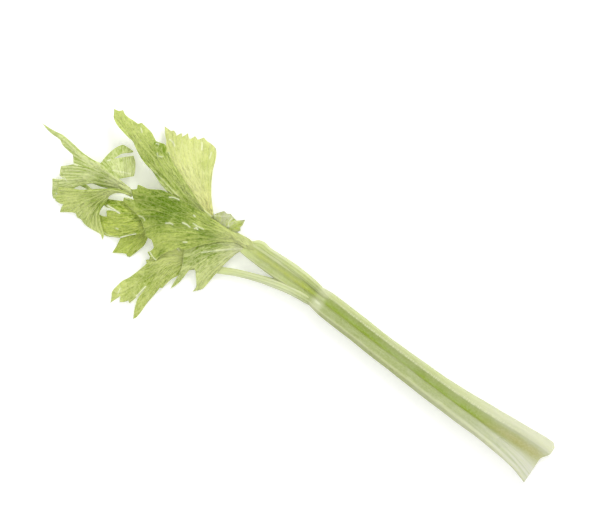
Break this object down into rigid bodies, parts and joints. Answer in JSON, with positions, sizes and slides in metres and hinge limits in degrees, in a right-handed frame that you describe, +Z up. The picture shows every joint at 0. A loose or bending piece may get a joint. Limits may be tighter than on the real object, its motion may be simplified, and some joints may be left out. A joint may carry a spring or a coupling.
{
  "type": "celery stalk",
  "caption": "Single fresh celery stalk with a ribbed, channelled stem, flared at the cut end, and toothed leaflets at the other end, lying on a surface.",
  "frame": {"origin": "on the surface it lies on, under the middle of the bounding box", "axes": "+X from the cut end to the leaf tips, +Z up, channel facing up"},
  "size_m": [0.3847, 0.1206, 0.027],
  "materials": {
    "stalk": "satin",
    "stem": "satin",
    "leaf": "satin",
    "dark_leaf": "satin",
    "pale_leaf": "satin",
    "yellow_leaf": "satin"
  },
  "bodies": {
    "root": {"stalk": "stalk", "upper_stalk": "stalk", "left_leaf_stalk": "stem", "right_leaf_stalk": "stem", "end_leaf_stalk": "stem", "left_leaflet": "leaf", "inner_left_leaflet": "leaf", "centre_leaflet": "dark_leaf", "tucked_leaflet": "leaf", "curled_leaflet": "leaf", "end_leaflet": "pale_leaf", "fan_leaflet": "pale_leaf", "right_leaflet": "leaf", "pale_leaflet": "yellow_leaf", "small_leaflet": "pale_leaf"}
  },
  "joints": []
}
